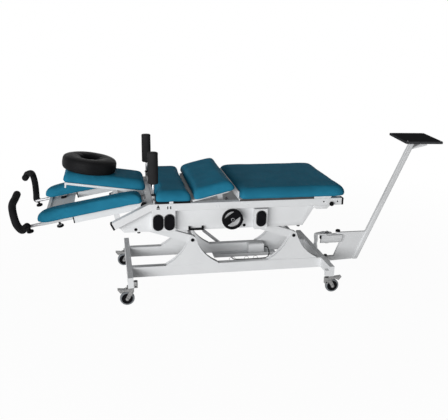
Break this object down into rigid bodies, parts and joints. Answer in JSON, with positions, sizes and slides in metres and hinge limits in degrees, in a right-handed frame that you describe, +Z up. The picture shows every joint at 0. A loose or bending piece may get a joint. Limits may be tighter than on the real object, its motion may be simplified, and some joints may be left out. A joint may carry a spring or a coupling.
{
  "type": "traction treatment table",
  "caption": "Motorised physiotherapy traction table: sectioned padded top on a parallelogram lift with braked casters, tilting arm rests with hand grips, armpit posts and a swing arm with a tray.",
  "frame": {"origin": "centre of the table's box in plan, on the floor", "axes": "+X along the table from the hand grips to the traction tray, +Y to the far side, +Z up"},
  "size_m": [2.4826, 0.8876, 0.8583],
  "materials": {
    "white_paint": "satin white powder coat",
    "bare_steel": "ground steel",
    "zinc_steel": "zinc-plated steel",
    "teal_vinyl": "grained teal vinyl over foam",
    "black_vinyl": "black vinyl over foam",
    "black_rubber": "matt black foam rubber",
    "grey_tyre": "light grey rubber tread",
    "black_plastic": "moulded black plastic"
  },
  "bodies": {
    "base": {"base_beam_near": "white_paint", "base_beam_far": "white_paint", "base_cross_beam_head": "white_paint", "base_cross_beam_foot": "white_paint", "control_box": "white_paint", "control_lead": "black_rubber", "head_lower_shaft": "bare_steel", "foot_lower_shaft": "bare_steel"},
    "caster_head_near": {"caster_fork_head_near": "zinc_steel"},
    "wheel_head_near": {"caster_wheel_head_near": "grey_tyre"},
    "pedal_head_near": {"caster_pedal_head_near": "zinc_steel"},
    "caster_head_far": {"caster_fork_head_far": "zinc_steel"},
    "wheel_head_far": {"caster_wheel_head_far": "grey_tyre"},
    "pedal_head_far": {"caster_pedal_head_far": "zinc_steel"},
    "caster_foot_near": {"caster_fork_foot_near": "zinc_steel"},
    "wheel_foot_near": {"caster_wheel_foot_near": "grey_tyre"},
    "pedal_foot_near": {"caster_pedal_foot_near": "zinc_steel"},
    "caster_foot_far": {"caster_fork_foot_far": "zinc_steel"},
    "wheel_foot_far": {"caster_wheel_foot_far": "grey_tyre"},
    "pedal_foot_far": {"caster_pedal_foot_far": "zinc_steel"},
    "head_lift": {"head_lift_frame": "white_paint"},
    "foot_lift": {"foot_lift_frame": "white_paint"},
    "actuator_tube": {"lift_actuator_tube": "bare_steel"},
    "actuator_rod": {"lift_actuator_rod": "bare_steel"},
    "upper_frame": {"side_rail_near": "white_paint", "side_rail_far": "white_paint", "side_panel_near": "white_paint", "side_panel_far": "white_paint", "head_hinge_tube": "bare_steel", "mid_cross_tube": "white_paint", "foot_cross_tube": "white_paint", "armpit_bar": "bare_steel", "lumbar_gearbox": "zinc_steel", "head_upper_shaft": "bare_steel", "foot_upper_shaft": "bare_steel", "thorax_pad": "teal_vinyl"},
    "switch_1": {"rocker_switch_1": "black_plastic"},
    "switch_2": {"rocker_switch_2": "black_plastic"},
    "switch_3": {"rocker_switch_3": "black_plastic"},
    "handwheel": {"handwheel": "black_plastic"},
    "release_handle": {"release_handle": "black_plastic"},
    "rail_plunger": {"rail_plunger": "black_plastic"},
    "head_section": {"head_pad": "teal_vinyl", "head_frame": "white_paint", "face_cushion": "black_vinyl"},
    "lumbar_section": {"lumbar_pad": "teal_vinyl", "lumbar_frame": "white_paint"},
    "leg_section": {"leg_pad": "teal_vinyl", "leg_carriage": "white_paint"},
    "arm_section": {"arm_pad_near": "teal_vinyl", "arm_pad_far": "teal_vinyl", "arm_rail_near": "white_paint", "arm_rail_far": "white_paint"},
    "arm_carriage": {"arm_carriage": "white_paint"},
    "grip_near": {"grip_near": "black_rubber"},
    "grip_far": {"grip_far": "black_rubber"},
    "armpit_post_near": {"armpit_post_near": "black_vinyl"},
    "armpit_post_far": {"armpit_post_far": "black_vinyl"},
    "traction_arm": {"traction_arm": "white_paint"},
    "traction_tray": {"traction_tray": "black_plastic"}
  },
  "joints": [
    {"name": "swivel_head_near", "type": "hinge", "parent": "base", "child": "caster_head_near", "pos_m": [-0.6449, -0.289, 0.1117], "axis": [0, 0, 1], "continuous": true},
    {"name": "roll_head_near", "type": "hinge", "parent": "caster_head_near", "child": "wheel_head_near", "pos_m": [-0.6649, -0.289, 0.04], "axis": [0, 1, 0], "continuous": true},
    {"name": "brake_head_near", "type": "hinge", "parent": "caster_head_near", "child": "pedal_head_near", "pos_m": [-0.6705, -0.289, 0.091], "axis": [0, -1, 0], "range_deg": [0, 10]},
    {"name": "swivel_head_far", "type": "hinge", "parent": "base", "child": "caster_head_far", "pos_m": [-0.6449, 0.289, 0.1117], "axis": [0, 0, 1], "continuous": true},
    {"name": "roll_head_far", "type": "hinge", "parent": "caster_head_far", "child": "wheel_head_far", "pos_m": [-0.6649, 0.289, 0.04], "axis": [0, 1, 0], "continuous": true},
    {"name": "brake_head_far", "type": "hinge", "parent": "caster_head_far", "child": "pedal_head_far", "pos_m": [-0.6705, 0.289, 0.091], "axis": [0, -1, 0], "range_deg": [0, 10]},
    {"name": "swivel_foot_near", "type": "hinge", "parent": "base", "child": "caster_foot_near", "pos_m": [0.5061, -0.289, 0.1117], "axis": [0, 0, 1], "continuous": true},
    {"name": "roll_foot_near", "type": "hinge", "parent": "caster_foot_near", "child": "wheel_foot_near", "pos_m": [0.5261, -0.289, 0.04], "axis": [0, 1, 0], "continuous": true},
    {"name": "brake_foot_near", "type": "hinge", "parent": "caster_foot_near", "child": "pedal_foot_near", "pos_m": [0.5317, -0.289, 0.091], "axis": [0, 1, 0], "range_deg": [0, 10]},
    {"name": "swivel_foot_far", "type": "hinge", "parent": "base", "child": "caster_foot_far", "pos_m": [0.5061, 0.289, 0.1117], "axis": [0, 0, 1], "continuous": true},
    {"name": "roll_foot_far", "type": "hinge", "parent": "caster_foot_far", "child": "wheel_foot_far", "pos_m": [0.5261, 0.289, 0.04], "axis": [0, 1, 0], "continuous": true},
    {"name": "brake_foot_far", "type": "hinge", "parent": "caster_foot_far", "child": "pedal_foot_far", "pos_m": [0.5317, 0.289, 0.091], "axis": [0, 1, 0], "range_deg": [0, 10]},
    {"name": "lift", "type": "hinge", "parent": "base", "child": "head_lift", "pos_m": [-0.2869, 0, 0.322], "axis": [0, 1, 0], "range_deg": [-13.7, 40]},
    {"name": "frame_level", "type": "hinge", "parent": "head_lift", "child": "upper_frame", "pos_m": [-0.6083, 0, 0.4307], "axis": [0, 1, 0], "range_deg": [-40.5, 14.2]},
    {"name": "foot_arm", "type": "hinge", "parent": "base", "child": "foot_lift", "pos_m": [0.3111, 0, 0.322], "axis": [0, 1, 0], "range_deg": [-14.2, 40.5]},
    {"name": "actuator_swing", "type": "hinge", "parent": "base", "child": "actuator_tube", "pos_m": [-0.0419, 0.205, 0.139], "axis": [0, 1, 0], "range_deg": [-11, 31.5]},
    {"name": "actuator_stroke", "type": "slide", "parent": "actuator_tube", "child": "actuator_rod", "axis": [-0.7623, 0, 0.6472], "range_m": [-0.0265, 0.076]},
    {"name": "head_tilt", "type": "hinge", "parent": "upper_frame", "child": "head_section", "pos_m": [-0.5599, 0, 0.562], "axis": [0, 1, 0], "range_deg": [-8.2, 15]},
    {"name": "arm_tilt", "type": "hinge", "parent": "upper_frame", "child": "arm_section", "pos_m": [-0.5599, 0, 0.562], "axis": [0, 1, 0], "range_deg": [-15, 10.2]},
    {"name": "arm_extend", "type": "slide", "parent": "arm_section", "child": "arm_carriage", "axis": [-0.9842, 0, -0.1771], "range_m": [-0.008, 0.1]},
    {"name": "grip_turn_near", "type": "hinge", "parent": "arm_carriage", "child": "grip_near", "pos_m": [-1.1739, -0.2435, 0.4622], "axis": [-0.9842, 0, -0.1771], "range_deg": [-60, 60]},
    {"name": "grip_turn_far", "type": "hinge", "parent": "arm_carriage", "child": "grip_far", "pos_m": [-1.1739, 0.2435, 0.4622], "axis": [0.9842, 0, 0.1771], "range_deg": [-60, 60]},
    {"name": "lumbar_tilt", "type": "hinge", "parent": "upper_frame", "child": "lumbar_section", "pos_m": [-0.2999, 0, 0.572], "axis": [0, -1, 0], "range_deg": [-13.5, 6.5]},
    {"name": "handwheel_turn", "type": "hinge", "parent": "upper_frame", "child": "handwheel", "pos_m": [-0.0879, -0.3265, 0.484], "axis": [0, -1, 0], "range_deg": [-490, 240]},
    {"name": "leg_slide", "type": "slide", "parent": "upper_frame", "child": "leg_section", "axis": [1, 0, 0], "range_m": [0, 0.15]},
    {"name": "rail_plunger_pull", "type": "slide", "parent": "upper_frame", "child": "rail_plunger", "axis": [0, -1, 0], "range_m": [0, 0.008], "stiffness_N_per_m": 600},
    {"name": "release_pull", "type": "hinge", "parent": "upper_frame", "child": "release_handle", "pos_m": [-0.2824, -0.2772, 0.434], "axis": [-1, 0, 0], "range_deg": [0, 25], "stiffness_Nm_per_rad": 0.6},
    {"name": "switch_rock_1", "type": "hinge", "parent": "upper_frame", "child": "switch_1", "pos_m": [-0.4909, -0.3115, 0.478], "axis": [1, 0, 0], "range_deg": [-3, 3], "stiffness_Nm_per_rad": 1},
    {"name": "switch_rock_2", "type": "hinge", "parent": "upper_frame", "child": "switch_2", "pos_m": [-0.4304, -0.3115, 0.478], "axis": [1, 0, 0], "range_deg": [-3, 3], "stiffness_Nm_per_rad": 1},
    {"name": "switch_rock_3", "type": "hinge", "parent": "upper_frame", "child": "switch_3", "pos_m": [0.0756, -0.3115, 0.478], "axis": [1, 0, 0], "range_deg": [-3, 3], "stiffness_Nm_per_rad": 1},
    {"name": "armpit_slide_near", "type": "slide", "parent": "upper_frame", "child": "armpit_post_near", "axis": [0, 1, 0], "range_m": [0, 0.075]},
    {"name": "armpit_slide_far", "type": "slide", "parent": "upper_frame", "child": "armpit_post_far", "axis": [0, -1, 0], "range_m": [0, 0.075]},
    {"name": "arm_swing", "type": "hinge", "parent": "base", "child": "traction_arm", "pos_m": [0.5871, 0, 0.0743], "axis": [0, 0, 1], "range_deg": [-45, 45]},
    {"name": "tray_turn", "type": "hinge", "parent": "traction_arm", "child": "traction_tray", "pos_m": [1.0991, 0, 0.8433], "axis": [0, 0, 1], "range_deg": [-45, 45]}
  ],
  "couplings": [
    {"joint": "frame_level", "follows": "lift", "ratio": -1},
    {"joint": "foot_arm", "follows": "lift", "ratio": 1},
    {"joint": "actuator_swing", "follows": "lift", "ratio": 0.775},
    {"joint": "actuator_stroke", "follows": "lift", "m_per_rad": 0.108},
    {"joint": "handwheel_turn", "follows": "lumbar_tilt", "ratio": 36}
  ]
}
